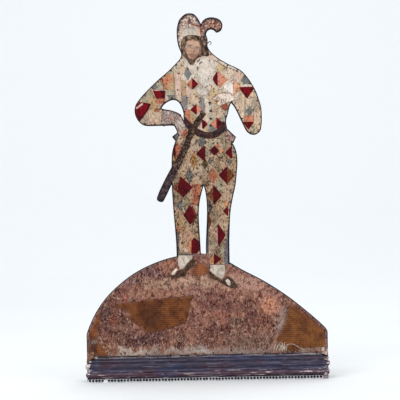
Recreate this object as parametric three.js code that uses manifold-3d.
// A cut-out board figure: a comedy servant in a lozenge patchwork suit on a rounded mound.
// The sawn board stands in a moulded base, and its front is covered with flat pieces of cloth.
// Millimetres. X is to the viewer's right, Y to the back, Z up, the floor is Z = 0.
// Right and left in the names are the figure's own, so its right hand has a negative X.

import * as THREE from 'three';
import { mergeVertices } from 'three/addons/utils/BufferGeometryUtils.js';
import Module from 'manifold-3d';

const wasm = await Module();
wasm.setup();

// The board and what stands behind it
const boardThickness = 15;
const boardWidth = 393;
const moundCrest = 206;
const figureTall = 395;
const blockDepth = 31.5;
const blockLower = 3; // the block's top under the moulding's top
const blockShorter = 5; // each end of the block inside the board's edge

// The base moulding, from the top down: how high each member is, and how far it reaches out
const fillet = { high: 2.5, reach: 1.75 };
const topCove = { high: 2.9, reach: 9.75 };
const astragal = { high: 2.6, reach: 12 };
const upperQuirk = { high: 2, reach: 10 };
const bulge = { high: 10, reach: 13.5 };
const lowerCove = { high: 4, neck: 9.5, reach: 12 };
const lowerQuirk = { high: 1.4, reach: 10.75 };
const ridge = { high: 3.7, reach: 13.25 };
const band = { high: 3.5, reach: 12.5 };
const recess = { high: 2.6, reach: 10.5 };
const returnPast = 1.5; // each end of the moulding past the board's edge

// The strip of beads under the moulding
const rail = { high: 5.5, reach: 10.75 };
const beadDiameter = 3.1;
const beadPitch = 5.17;
const beadSink = 0.35; // share of a bead's radius that is sunk in the rail
const beadMargin = 4; // from the rail's ends to the first and the last bead
const lostBeads = [5, 22]; // places without a bead, counted from the left end

// Cloth
const clothThickness = 1;
const patchThickness = 0.75;
const batThickness = 1.5; // above the cloth that it lies on
const edgeReveal = 1.8; // the dark board edge that shows around the cloth
const hemReveal = 1; // between the mound's cloth and the moulding
const seam = 0.4; // between two pieces of cloth side by side
const button = { wide: 5, high: 3 };
const beltWidth = 8.3;

// Planes of the layers, from the board's front outwards
const overallDepth = bulge.reach + boardThickness + blockDepth;
const boardFront = -overallDepth / 2 + bulge.reach;
const boardBack = boardFront + boardThickness;
const clothFront = boardFront - clothThickness;
const patchFront = clothFront - patchThickness;
const batFront = clothFront - batThickness;
const members = [fillet, topCove, astragal, upperQuirk, bulge, lowerCove, lowerQuirk, ridge, band, recess];
const baseHeight = members.reduce((sum, member) => sum + member.high, rail.high);

// Outlines are closed lists of [x, z], anticlockwise as the viewer sees them

// Turns points in hundredths of the figure's height, above the mound's crest, to millimetres.
const onFigure = points => points.map(
  ([x, z]) => [x * figureTall / 100, moundCrest + z * figureTall / 100]);

// Turns points in shares of the board's half width and of the crest's height to millimetres.
const onMound = points => points.map(([x, z]) => [x * boardWidth / 2, z * moundCrest]);

function smoothLine(points, steps = 3) {
  const curve = new THREE.SplineCurve(points.map(([x, z]) => new THREE.Vector2(x, z)));
  return curve.getPoints((points.length - 1) * steps).map(p => [p.x, p.y]);
}

// A closed curve through the points, which may be given either way round.
function smoothLoop(points, steps = 3) {
  const round = [points.at(-1), ...points, points[0], points[1]];
  return anticlockwise(smoothLine(round, steps).slice(steps, -steps - 1));
}

// An outline between a left and a right edge, from stations of [z, left, right] going up.
function bandOutline(stations, steps = 3) {
  const left = smoothLine(stations.map(([z, x]) => [x, z]), steps);
  const right = smoothLine(stations.map(([z, , x]) => [x, z]), steps);
  return anticlockwise([...right, ...left.reverse()]);
}

// A strip of an even or changing width along a line of [x, z, half width], with square ends.
function stripOutline(line, steps = 3) {
  const curve = new THREE.CatmullRomCurve3(line.map(([x, z, w]) => new THREE.Vector3(x, z, w)));
  const count = (line.length - 1) * steps;
  const sides = [[], []];
  for (let i = 0; i <= count; i++) {
    const at = curve.getPoint(i / count);
    const along = curve.getTangent(i / count).setZ(0).normalize();
    sides[0].push([at.x - along.y * at.z, at.y + along.x * at.z]);
    sides[1].push([at.x + along.y * at.z, at.y - along.x * at.z]);
  }
  return anticlockwise([...sides[0], ...sides[1].reverse()]);
}

const ellipse = (x, z, wide, high, count = 12) => Array.from({ length: count }, (_, i) => [
  x + Math.cos(2 * Math.PI * i / count) * wide / 2,
  z + Math.sin(2 * Math.PI * i / count) * high / 2]);

function anticlockwise(outline) {
  const area = THREE.ShapeUtils.area(outline.map(([x, z]) => new THREE.Vector2(x, z)));
  return area < 0 ? outline.slice().reverse() : outline;
}

// The closed outline without the points that stand nearer than a distance to the one before.
function thinned(outline, apart) {
  const kept = [];
  const near = ([x, z], other) => other && Math.hypot(x - other[0], z - other[1]) < apart;
  for (const point of outline) {
    if (!near(point, kept.at(-1))) kept.push(point);
  }
  while (near(kept.at(-1), kept[0])) kept.pop();
  return kept;
}

// Each point of a closed outline moved inwards by a distance, or outwards by a negative one.
function moved(outline, by) {
  return outline.map(([x, z], i) => {
    const before = outline.at(i - 1);
    const after = outline[(i + 1) % outline.length];
    const into = new THREE.Vector2(before[1] - z, x - before[0]).normalize();
    const out = new THREE.Vector2(z - after[1], after[0] - x).normalize();
    const stretch = by / Math.max(0.2, 1 + into.dot(out));
    return [x + (into.x + out.x) * stretch, z + (into.y + out.y) * stretch];
  });
}

// The outline moved inwards or outwards, without the points whose side would fold back.
function inset(outline, by) {
  const kept = thinned(outline, 0.2);
  const side = (points, i) => new THREE.Vector2(...points[(i + 1) % points.length])
    .sub(new THREE.Vector2(...points[i]));
  const bend = i => side(kept, (i + kept.length - 1) % kept.length).angleTo(side(kept, i));
  for (;;) {
    const result = moved(kept, by);
    const folded = kept.findIndex((_, i) => side(kept, i).dot(side(result, i)) <= 0);
    if (folded < 0) return result;
    const next = (folded + 1) % kept.length;
    kept.splice(bend(folded) < bend(next) ? folded : next, 1);
  }
}

// Solids

function toSolid(geometry) {
  geometry.deleteAttribute('normal');
  geometry.deleteAttribute('uv');
  const merged = mergeVertices(geometry, 1e-4);
  return new wasm.Manifold(new wasm.Mesh({
    numProp: 3,
    vertProperties: new Float32Array(merged.attributes.position.array),
    triVerts: new Uint32Array(merged.index.array),
  }));
}

// The shape of an outline, without the points in the middle of its straight sides.
function shapeOf(outline) {
  const bends = outline.filter(([x, z], i) => {
    const [x0, z0] = outline.at(i - 1);
    const [x1, z1] = outline[(i + 1) % outline.length];
    return Math.abs((x - x0) * (z1 - z) - (z - z0) * (x1 - x)) > 1e-6;
  });
  return new THREE.Shape(bends.map(([x, z]) => new THREE.Vector2(x, z)));
}

// The solid of an outline between two planes across Y.
function slab(outline, front, back) {
  const shape = shapeOf(outline);
  const geometry = new THREE.ExtrudeGeometry(shape, { depth: back - front, bevelEnabled: false });
  geometry.rotateX(Math.PI / 2);
  geometry.translate(0, back, 0);
  return toSolid(geometry);
}

// The solid of an outline of [x, y], seen from above, between two heights.
function upright(outline, bottom, top) {
  const shape = shapeOf(outline);
  const geometry = new THREE.ExtrudeGeometry(shape, { depth: top - bottom, bevelEnabled: false });
  geometry.translate(0, 0, bottom);
  return toSolid(geometry);
}

const joined = solids => solids.reduce((all, solid) => all.add(solid));

// Outlines of the board

const moundOutline = () => {
  const hump = onMound([
    [1, 0.36], [0.98, 0.4], [0.85, 0.515], [0.67, 0.655], [0.48, 0.775], [0.31, 0.862],
    [0.2, 0.925], [0.1, 0.97], [-0.03, 1], [-0.26, 0.978], [-0.457, 0.92], [-0.63, 0.833],
    [-0.8, 0.7], [-0.905, 0.573], [-0.965, 0.465], [-1, 0.38]]);
  return anticlockwise([...smoothLine(hump), ...onMound([[-1, 0], [1, 0]])]);
};

// The figure's bands, in hundredths of its height: [z, left, right]
const bands = {
  rightLeg: [[-4, -12, -1.9], [3, -12, -2], [9, -12.3, -2.3], [16, -12.8, -2.5], [21, -13.1, -2.1],
    [25, -13.3, -1.2], [28, -13.4, -0.3], [31, -13.4, 0.5]],
  leftLeg: [[-6, 0.2, 9.9], [3, 0.2, 9.9], [9, 0.5, 10.1], [16, 0.9, 10.5], [21, 0.9, 11.3],
    [25, 0.5, 12.2], [28, -0.2, 12.9], [31, -1, 13.2]],
  trunk: [[27.8, -13.4, 12.9], [32, -13.4, 13.4], [38, -13.3, 13.9], [43, -12.8, 13.2],
    [48, -11, 10.8], [54, -8.2, 9.5], [57, -8.1, 10.2], [62, -9.5, 11.7], [68, -14, 16],
    [74, -12, 14]],
  rightArm: [[53.2, -22.6, -9], [53.7, -25, -9], [55.5, -26.9, -9], [58, -28, -9], [60.5, -28.1, -9],
    [63, -27, -8], [67, -23.6, -4], [72, -18.3, 1], [76, -13.5, 2], [80, -9.5, 2]],
  leftArm: [[48.8, 20.2, 21.4], [49.8, 18.3, 23.3], [52.5, 16.8, 24.1], [56, 15.2, 24.3],
    [60, 13.3, 24.1], [62.6, 11.2, 23.4], [67, 5, 21.9], [72, -1, 19], [75.6, -2, 15.7],
    [78, -2, 11], [80, -2, 7.6]],
  head: [[74.5, -10.5, 11], [77, -11.6, 12.2], [79.5, -9.9, 8.3], [82, -8.4, 5], [84, -8.9, 3.2],
    [86, -9.6, 2.4], [88, -10, 2.6], [90, -10.15, 2], [93, -10.1, 0.8], [96.4, -9.2, -0.9],
    [98.4, -7.4, -2.3], [99.6, -5.7, -3.8]],
};

// Loops that stand past the bands, or are cut from them
const loops = {
  rightHand: [[-16.4, 60], [-13, 59.2], [-10.2, 58.1], [-8.2, 55.9], [-7.4, 52.8], [-7.9, 50.2],
    [-9.6, 48.8], [-11, 50.9], [-12, 53.1], [-14.5, 53.4], [-16.9, 53.4]],
  hatTail: [[0.3, 95.6], [1.9, 97], [4.1, 97.5], [6.6, 97], [8.4, 95.5], [8.7, 93.4], [7.7, 91.9],
    [6.2, 91.4], [5.2, 92.4], [3.7, 92.7], [2.3, 91.9], [1.7, 89.8], [0.3, 89.6], [-0.4, 92.5]],
  armGap: [[-17.1, 60.3], [-15.2, 62.6], [-12.5, 63.8], [-10.5, 63.3], [-8.9, 61.2], [-8.2, 58.9],
    [-8.1, 57.1], [-10.6, 58.5], [-13.8, 59.6]],
};
const corners = {
  rightHipFlap: [[-9, 51.6], [-12.9, 48.5], [-11, 46]],
  leftHipFlap: [[9.3, 52], [13.5, 47.9], [12.5, 45.6], [9, 46]],
};
const batLine = [[0.4, 58.2, 1.15], [-4.4, 51.1, 1.2], [-7.6, 43.8, 1.3], [-11.1, 36.7, 1.4],
  [-14.3, 30.9, 1.45], [-17.3, 24.9, 1.45], [-18.6, 22, 1.15]];
const beltLine = [[-8.6, 56], [-5.4, 52.5], [-2.4, 50.2], [0.2, 49.1], [2.7, 48.7], [5.2, 49.3],
  [7.4, 51.1], [9.2, 53.6]];

const hundredth = figureTall / 100;
const bandOf = name => onFigure(bandOutline(bands[name]));
const loopOf = name => smoothLoop(onFigure(loops[name]));
const cornersOf = name => anticlockwise(onFigure(corners[name]));
const strip = (line, steps) => stripOutline(line.map(([x, z, w]) => [
  ...onFigure([[x, z]])[0], w * hundredth]), steps);
const batOutline = () => strip(batLine, 2);
const beltOutline = () => strip(beltLine.map(([x, z]) => [x, z, beltWidth / 2 / hundredth]), 2);

// The whole figure without its mound, drawn in by a distance, between two planes.
function figureSlab(by, front, back) {
  const parts = [
    ...Object.keys(bands).map(bandOf),
    ...Object.keys(corners).map(cornersOf),
    loopOf('rightHand'), loopOf('hatTail')];
  const solid = joined(parts.map(outline => slab(inset(outline, by), front, back)));
  return solid.subtract(slab(inset(loopOf('armGap'), -by), front - clothThickness, back + clothThickness));
}

function makeBoard() {
  return joined([
    slab(moundOutline(), boardFront, boardBack),
    figureSlab(0, boardFront, boardBack),
    slab(inset(batOutline(), -edgeReveal / 2), boardFront, boardBack)]);
}

// Base

// Points of a quarter or half round between two heights, from the upper to the lower.
function roundMember(top, high, from, out, to, count = 5) {
  return Array.from({ length: count + 1 }, (_, i) => {
    const turn = Math.PI * i / count;
    const base = from + (to - from) * i / count;
    return [base + Math.sin(turn) * (out - (from + to) / 2), top - high * (1 - Math.cos(turn)) / 2];
  });
}

function cove(top, high, from, to, count = 4) {
  return Array.from({ length: count + 1 }, (_, i) => {
    const turn = Math.PI / 2 * i / count;
    return [from + (to - from) * (1 - Math.cos(turn)), top - high * Math.sin(turn)];
  });
}

// The moulding's section as [reach, z], from the top of the board side down to the rail.
function mouldingSection() {
  let top = baseHeight;
  const under = member => { top -= member.high; return top; };
  const flat = member => [[member.reach, top], [member.reach, under(member)]];
  const section = [[0, top], ...flat(fillet)];
  section.push(...cove(top, topCove.high, fillet.reach, topCove.reach));
  under(topCove);
  section.push(...roundMember(top, astragal.high, topCove.reach, astragal.reach, upperQuirk.reach));
  under(astragal);
  section.push(...flat(upperQuirk));
  section.push(...roundMember(top, bulge.high, upperQuirk.reach, bulge.reach, lowerCove.neck, 8));
  under(bulge);
  section.push(...cove(top, lowerCove.high, lowerCove.neck, lowerCove.reach));
  under(lowerCove);
  section.push(...flat(lowerQuirk));
  section.push(...roundMember(top, ridge.high, lowerQuirk.reach, ridge.reach, band.reach));
  under(ridge);
  section.push(...flat(band), ...flat(recess), [0, top]);
  return section.filter(([x, z], i) => i === 0
    || Math.hypot(x - section[i - 1][0], z - section[i - 1][1]) > 1e-6);
}

const mouldingEnd = boardWidth / 2 + returnPast; // the furthest member's end
const coreEnd = mouldingEnd - bulge.reach; // where the section starts on a return
const cutPast = bulge.reach * 1.1; // how far the mitre cuts run out, past every member

// The section run along a straight line as long as the base, facing the front.
function mouldingRun(length) {
  const shape = shapeOf(mouldingSection());
  const geometry = new THREE.ExtrudeGeometry(shape, { depth: length, bevelEnabled: false });
  geometry.rotateX(Math.PI / 2);
  geometry.rotateZ(-Math.PI / 2);
  geometry.translate(length / 2, 0, 0);
  return toSolid(geometry);
}

// The front run is cut to a trapezium in plan, and each return fills one corner.
function makeFrontMoulding() {
  const plan = [[-coreEnd, boardFront], [-coreEnd - cutPast, boardFront - cutPast],
    [coreEnd + cutPast, boardFront - cutPast], [coreEnd, boardFront]];
  return mouldingRun(2 * (coreEnd + cutPast)).translate(0, boardFront, 0)
    .intersect(upright(plan, 0, baseHeight + cutPast));
}

function makeReturn(side) {
  const slip = seam * Math.SQRT2;
  const plan = [[coreEnd, boardFront], [coreEnd + cutPast, boardFront - cutPast],
    [coreEnd + cutPast, boardFront]];
  const cut = mouldingRun(4 * cutPast).rotate(0, 0, 90).translate(coreEnd, boardFront, 0)
    .intersect(upright(plan.map(([x, y]) => [x + slip, y]), 0, baseHeight + cutPast));
  return side > 0 ? cut : cut.mirror([1, 0, 0]);
}

function makeBeadRail() {
  const end = coreEnd + rail.reach;
  const wood = slab([[-end, 0], [end, 0], [end, rail.high], [-end, rail.high]],
    boardFront - rail.reach, boardFront);
  const span = 2 * (end - beadMargin);
  const gaps = Math.max(1, Math.round(span / beadPitch));
  const radius = beadDiameter / 2;
  const out = rail.reach + radius * (1 - beadSink);
  const places = Array.from({ length: gaps + 1 }, (_, i) => -span / 2 + i * span / gaps)
    .filter((_, i) => !lostBeads.includes(i));
  const beads = places.map(x => {
    const bead = new THREE.SphereGeometry(radius, 6, 4);
    bead.translate(x, boardFront - out, rail.high / 2);
    return toSolid(bead);
  });
  return joined([wood, ...beads]);
}

function makeBlock() {
  const end = boardWidth / 2 - blockShorter;
  const plan = [[-end, boardBack], [end, boardBack], [end, boardBack + blockDepth],
    [-end, boardBack + blockDepth]];
  return upright(plan, 0, baseHeight - blockLower);
}

// Cloth

const around = outline => slab(inset(outline, -seam), batFront - clothThickness, boardBack);
const onBoard = outline => slab(outline, clothFront, boardFront);
const onCloth = outline => slab(outline, patchFront, clothFront);
const clothArea = figureSlab(edgeReveal, clothFront, boardFront);
const patchArea = figureSlab(edgeReveal, patchFront, clothFront);

// The biggest piece of a cut cloth, without the offcuts.
const biggest = solid => solid.decompose().sort((a, b) => b.volume() - a.volume())[0];

// Lines that two garments share, in hundredths of the figure's height
const waistLine = beltLine;
const rightArmhole = [[-11.2, 62], [-11.8, 70], [-11.8, 90]];
const leftArmhole = [[12, 60], [15, 65], [15.9, 70], [15.8, 90]];
const hems = { right: -0.2, left: -4.5 };

const regions = {
  trousers: [[-11.3, hems.right], [-1.9, hems.right], [-2.6, 6], [-2.6, 16], [0, 22], [1.5, 16], [1.4, 3],
    [1.2, hems.left], [7.9, hems.left], [8.2, 3], [9.2, 9], [10.4, 16], [20, 30], [20, 50],
    ...waistLine.slice().reverse(), [-14, 52], [-14, 20], [-12.1, 12], [-11.6, 6]],
  jacket: [...waistLine, ...leftArmhole, ...rightArmhole.slice().reverse(), [-8.6, 58]],
  rightSleeve: [...rightArmhole, [-40, 90], [-40, 40], [-17.2, 40], [-16.6, 62]],
  leftSleeve: [[10, 45], [40, 45], [40, 90], ...leftArmhole.slice().reverse()],
};

// Free curves on the head and hands, in hundredths of the figure's height
const curves = {
  hair: [[-8.4, 86.4], [-7.7, 88.8], [-6, 90], [-3.5, 90.2], [-1, 89.7], [0.8, 88.9], [2.4, 87.6],
    [2.9, 84.4], [2.8, 81.6], [0.7, 81.6], [-1.6, 80.8], [-2.8, 79.5], [-3.5, 78.2], [-4.9, 78.2],
    [-5.9, 79.9], [-7.7, 82], [-8.3, 84.4]],
  face: [[-7, 86.5], [-7.1, 84.4], [-6.4, 82.2], [-5.4, 80.3], [-3.9, 79.5], [-2, 81], [-0.6, 83.2],
    [0.1, 86], [-0.9, 88], [-3.2, 88.8], [-5.6, 88.3]],
  collar: [[-8.3, 80.6], [-6.6, 79.5], [-5, 77.8], [-3.2, 77.8], [-1.3, 80.3], [1.7, 81.2], [4.3, 80],
    [5.4, 77.4], [4.8, 74.6], [4.5, 71.6], [2.6, 69.2], [0.8, 68.6], [-1.4, 71.6], [-3.8, 75.1],
    [-6.4, 77.6]],
  leftHand: [[3.6, 64], [5.6, 65.4], [7.8, 66.3], [10.8, 66.2], [13.2, 64.6], [12.8, 62.7], [10.2, 62.1],
    [7.5, 60.8], [5.5, 61.3], [6.6, 63], [4.4, 63.1]],
};
const curveOf = (name, steps = 3) => smoothLoop(onFigure(curves[name]), steps);

// Corners of the stockings, shoes and bows, in hundredths of the figure's height
const feet = {
  right: {
    stocking: [[-11.2, -0.6], [-5.4, -0.6], [-5.7, -2], [-7.5, -3.6], [-9.2, -5.9], [-10.6, -6.2],
      [-11.2, -4.6], [-11.5, -3]],
    shoe: [[-4.6, -1.6], [-4.7, -4.3], [-7.8, -7.2], [-8.5, -8.8], [-11.2, -9.7], [-14.3, -9.9],
      [-14.6, -8.9], [-13, -8.7], [-11.4, -6.8], [-9, -6.2], [-7.2, -3.8]],
    bow: [[-14.5, -8.4], [-13.6, -6.9], [-12.3, -5.7], [-11.6, -6.4], [-13, -8.3], [-13.8, -8.6]],
  },
  left: {
    stocking: [[1.9, -4.8], [7.7, -4.8], [8, -7.5], [7.3, -9.5], [6.6, -10.7], [4.5, -9.4],
      [2.9, -8.2], [1.7, -7]],
    shoe: [[1.4, -7.4], [2.7, -8.7], [4.6, -10.1], [6.8, -11.3], [7.6, -10.4], [9.1, -9.4],
      [10.7, -10.6], [12.3, -12.5], [12.9, -14.2], [10.6, -14.5], [8.6, -13.7], [6.5, -12.4],
      [4.1, -10.9], [1.8, -9.8]],
    bow: [[7.9, -11.1], [9, -10.4], [10, -11.6], [10.1, -13.1], [9.2, -13.4], [8.4, -12.4]],
  },
};
const footOutline = (side, piece) => anticlockwise(onFigure(feet[side][piece]));

function makeGarment(name) {
  const region = onBoard(inset(anticlockwise(onFigure(regions[name])), seam / 2));
  return biggest(clothArea.intersect(region)
    .subtract(around(loopOf('rightHand')))
    .subtract(around(curveOf('hair'))));
}

// The hat's crown, with the side that hangs down beside the hair.
function makeHat() {
  const lappet = 81.4;
  const above = onBoard(onFigure([[-20, lappet], [20, lappet], [20, 110], [-20, 110]]));
  return biggest(onBoard(inset(bandOf('head'), edgeReveal)).intersect(above)
    .subtract(around(curveOf('hair')))
    .subtract(around(loopOf('hatTail'))));
}

const makeHatTail = () => biggest(
  slab(loopOf('hatTail'), patchFront, boardFront)
    .intersect(clothArea.add(patchArea))
    .subtract(around(curveOf('hair'))));

const makeHair = () => onBoard(curveOf('hair')).intersect(clothArea);

const makeCollar = () => onCloth(curveOf('collar', 2)).intersect(patchArea)
  .subtract(around(curveOf('face')));

const makeRightHand = () => slab(loopOf('rightHand'), patchFront, boardFront)
  .intersect(clothArea.add(patchArea));

const makeBelt = () => biggest(onCloth(beltOutline()).intersect(patchArea)
  .subtract(around(loopOf('rightHand'))));

// The bat lies over the belt and the suit, and beyond the hip it fills down to the board.
function makeBat() {
  const beside = slab(batOutline(), clothFront, boardFront)
    .subtract(figureSlab(edgeReveal - seam, patchFront, boardBack));
  return slab(batOutline(), batFront, clothFront)
    .subtract(slab(inset(beltOutline(), -seam), patchFront, clothFront))
    .add(beside);
}

// A hip flap lies on the trousers beside the belt, the hand and the bat.
const makeFlap = name => biggest(onCloth(cornersOf(name)).intersect(patchArea)
  .subtract(around(beltOutline()))
  .subtract(around(loopOf('rightHand'))));

const makeStocking = side => biggest(onCloth(footOutline(side, 'stocking'))
  .subtract(around(footOutline(side, 'shoe')))
  .subtract(around(footOutline(side, 'bow'))));
const makeShoe = side => biggest(onCloth(footOutline(side, 'shoe'))
  .subtract(around(footOutline(side, 'bow'))));

// The mound's cloth runs from its hem over the base up to the legs.
function makeMoundCloth() {
  const hem = baseHeight + hemReveal;
  const above = onBoard([[-boardWidth, hem], [boardWidth, hem], [boardWidth, moundCrest * 2],
    [-boardWidth, moundCrest * 2]]);
  const legs = anticlockwise(onFigure([[-20, hems.right], [-3, hems.right], [-3, 1], [-1.2, 1],
    [-1.2, hems.left], [12, hems.left], [12, 10], [-20, 10]]));
  return biggest(onBoard(inset(moundOutline(), edgeReveal)).intersect(above)
    .subtract(around(legs)));
}

// Brown pieces on the mound, in shares of the board's half width and of the crest's height
const brownCloth = {
  middle: [[-0.775, 0.61], [-0.47, 0.65], [-0.115, 0.67], [-0.14, 0.555], [-0.175, 0.455],
    [-0.35, 0.4], [-0.505, 0.38], [-0.63, 0.485], [-0.66, 0.55]],
  corner: [[0.7, 0.6], [0.855, 0.48], [0.975, 0.375], [0.985, 0.24], [0.77, 0.21], [0.65, 0.206],
    [0.575, 0.305], [0.635, 0.445]],
  edge: [[-0.86, 0.585], [-0.9, 0.41], [-0.88, 0.29], [-0.835, 0.208], [-0.985, 0.208],
    [-0.985, 0.375], [-0.95, 0.46]],
  feet: [[-0.13, 0.885], [-0.065, 0.935], [0.01, 0.92], [0.03, 0.855], [-0.05, 0.825], [-0.12, 0.83]],
};

// A brown piece stays inside the edge of the mound's cloth and clear of the feet.
function makeBrownCloth(points) {
  const mound = onCloth(inset(moundOutline(), edgeReveal));
  const above = onCloth([[-boardWidth, baseHeight + hemReveal], [boardWidth, baseHeight + hemReveal],
    [boardWidth, moundCrest], [-boardWidth, moundCrest]]);
  const shoes = Object.keys(feet).flatMap(side => [
    around(footOutline(side, 'shoe')), around(footOutline(side, 'stocking'))]);
  return biggest(onCloth(anticlockwise(onMound(points))).intersect(mound).intersect(above)
    .subtract(joined(shoes)));
}

// Crimson patches: most are a lozenge or the half of one, [x, z, half width, half height, which part]
const lozenges = {
  right_chest_patch: [-4, 70.1, 2, 2, 'right'],
  left_chest_patch: [6.2, 72, 1.8, 2.9, 'left'],
  left_shoulder_patch: [18.3, 68.1, 2.8, 4, 'lower'],
  left_forearm_patch: [18.7, 53.8, 2, 2.6, 'lower'],
  right_waist_patch: [-2.9, 59.5, 1.8, 1.7, 'left'],
  middle_waist_patch: [-0.1, 53.4, 1.6, 1.6, 'right'],
  left_waist_patch: [5.9, 53.6, 1.8, 1.9, 'right'],
  right_hip_patch: [-11.6, 42.4, 1.6, 3.4, 'left'],
  middle_hip_patch: [0.4, 41.3, 3.3, 3.1, 'left'],
  left_hip_patch: [4.5, 42.4, 1.7, 1.8, 'whole'],
  outer_hip_patch: [11.5, 41.5, 2.4, 2.4, 'left'],
  left_thigh_patch: [9.3, 32.3, 3, 3.1, 'left'],
  left_knee_patch: [3.9, 24.1, 3, 3.7, 'right'],
  right_knee_patch: [-6.1, 16.1, 2.5, 3.8, 'whole'],
  left_calf_patch: [9.4, 17.3, 1.5, 1.7, 'left'],
  left_shin_patch: [5.5, 7.5, 2.6, 3.9, 'right'],
  left_ankle_patch: [3.6, -2.3, 2.7, 1.9, 'right'],
};
const oddPatches = {
  right_upper_sleeve_patch: [[-20.1, 67.4], [-15.5, 67.3], [-15.7, 64.6], [-18.9, 64.5]],
  right_elbow_patch: [[-29, 61.6], [-25.5, 62.8], [-21.6, 62.1], [-22.7, 59.7], [-26, 55.5], [-28, 56.6]],
  right_thigh_patch: [[-9.6, 31.7], [-10.7, 28], [-10.6, 26.2], [-8.6, 23.8], [-5.1, 27.5]],
  right_shin_patch: [[-5.5, 0.4], [-3.7, 0.4], [-2.6, 2], [-2.6, 4.6], [-4.4, 6.4], [-5.4, 5.2]],
};

function lozenge([x, z, wide, high, part]) {
  const points = { top: [x, z + high], left: [x - wide, z], bottom: [x, z - high], right: [x + wide, z] };
  const gone = { left: 'right', right: 'left', lower: 'top', whole: '' }[part];
  return Object.keys(points).filter(name => name !== gone).map(name => points[name]);
}

const makePatch = points => biggest(onCloth(anticlockwise(onFigure(points))).intersect(patchArea)
  .subtract(around(batOutline()))
  .subtract(around(curveOf('collar', 2))));

// Buttons down the jacket, [x, z] in hundredths of the figure's height
const buttonPlaces = [[2.9, 62.2], [3.3, 58.8], [3.2, 55.6], [3.1, 52.8]];

// The parts with their colours

const finishes = {
  darkWood: { color: 0x2b2228, roughness: 0.6 },
  plainWood: { color: 0x5a4636, roughness: 0.7 },
  moulding: { color: 0x4a4656, roughness: 0.5 },
  paleRail: { color: 0xa9a9ae, roughness: 0.5 },
  pile: { color: 0x8a6256, roughness: 1 },
  brown: { color: 0x70482c, roughness: 0.95 },
  cream: { color: 0xb5a284, roughness: 0.9 },
  crimson: { color: 0x66101a, roughness: 0.85 },
  white: { color: 0xd8cfc4, roughness: 0.9 },
  skin: { color: 0xc4a291, roughness: 0.85 },
  hair: { color: 0x634e3d, roughness: 0.95 },
  leather: { color: 0x42302a, roughness: 0.8 },
};

const figure = new THREE.Group();

function place(name, solid, finish) {
  const { vertProperties, triVerts } = solid.getMesh();
  const geometry = new THREE.BufferGeometry();
  geometry.setAttribute('position', new THREE.BufferAttribute(vertProperties, 3));
  geometry.setIndex(new THREE.BufferAttribute(triVerts, 1));
  geometry.computeVertexNormals();
  const material = new THREE.MeshStandardMaterial({ ...finishes[finish], metalness: 0 });
  const mesh = new THREE.Mesh(geometry, material);
  mesh.name = name;
  figure.add(mesh);
}

place('figure_board', makeBoard(), 'darkWood');
place('front_moulding', makeFrontMoulding(), 'moulding');
place('left_return_moulding', makeReturn(1), 'moulding');
place('right_return_moulding', makeReturn(-1), 'moulding');
place('bead_rail', makeBeadRail(), 'paleRail');
place('base_block', makeBlock(), 'plainWood');
place('mound_cloth', makeMoundCloth(), 'pile');
for (const [name, points] of Object.entries(brownCloth)) {
  place(`brown_cloth_${name}`, makeBrownCloth(points), 'brown');
}
place('trousers', makeGarment('trousers'), 'cream');
place('jacket', makeGarment('jacket'), 'cream');
place('right_sleeve', makeGarment('rightSleeve'), 'cream');
place('left_sleeve', makeGarment('leftSleeve'), 'cream');
place('hat', makeHat(), 'white');
place('hat_tail', makeHatTail(), 'brown');
place('hair', makeHair(), 'hair');
place('face', onCloth(curveOf('face')), 'skin');
place('collar', makeCollar(), 'white');
place('right_hand', makeRightHand(), 'skin');
place('left_hand', onCloth(curveOf('leftHand', 2)), 'skin');
place('belt', makeBelt(), 'leather');
place('bat', makeBat(), 'leather');
place('right_hip_flap', makeFlap('rightHipFlap'), 'cream');
place('left_hip_flap', makeFlap('leftHipFlap'), 'cream');
for (const side of Object.keys(feet)) {
  place(`${side}_stocking`, makeStocking(side), 'white');
  place(`${side}_shoe`, makeShoe(side), 'leather');
  place(`${side}_bow`, onCloth(footOutline(side, 'bow')), 'white');
}
for (const [name, spec] of Object.entries(lozenges)) place(name, makePatch(lozenge(spec)), 'crimson');
for (const [name, points] of Object.entries(oddPatches)) place(name, makePatch(points), 'crimson');
buttonPlaces.forEach((spot, i) => {
  const [x, z] = onFigure([spot])[0];
  place(`jacket_button_${i + 1}`, onCloth(ellipse(x, z, button.wide, button.high)), 'leather');
});

export default figure;
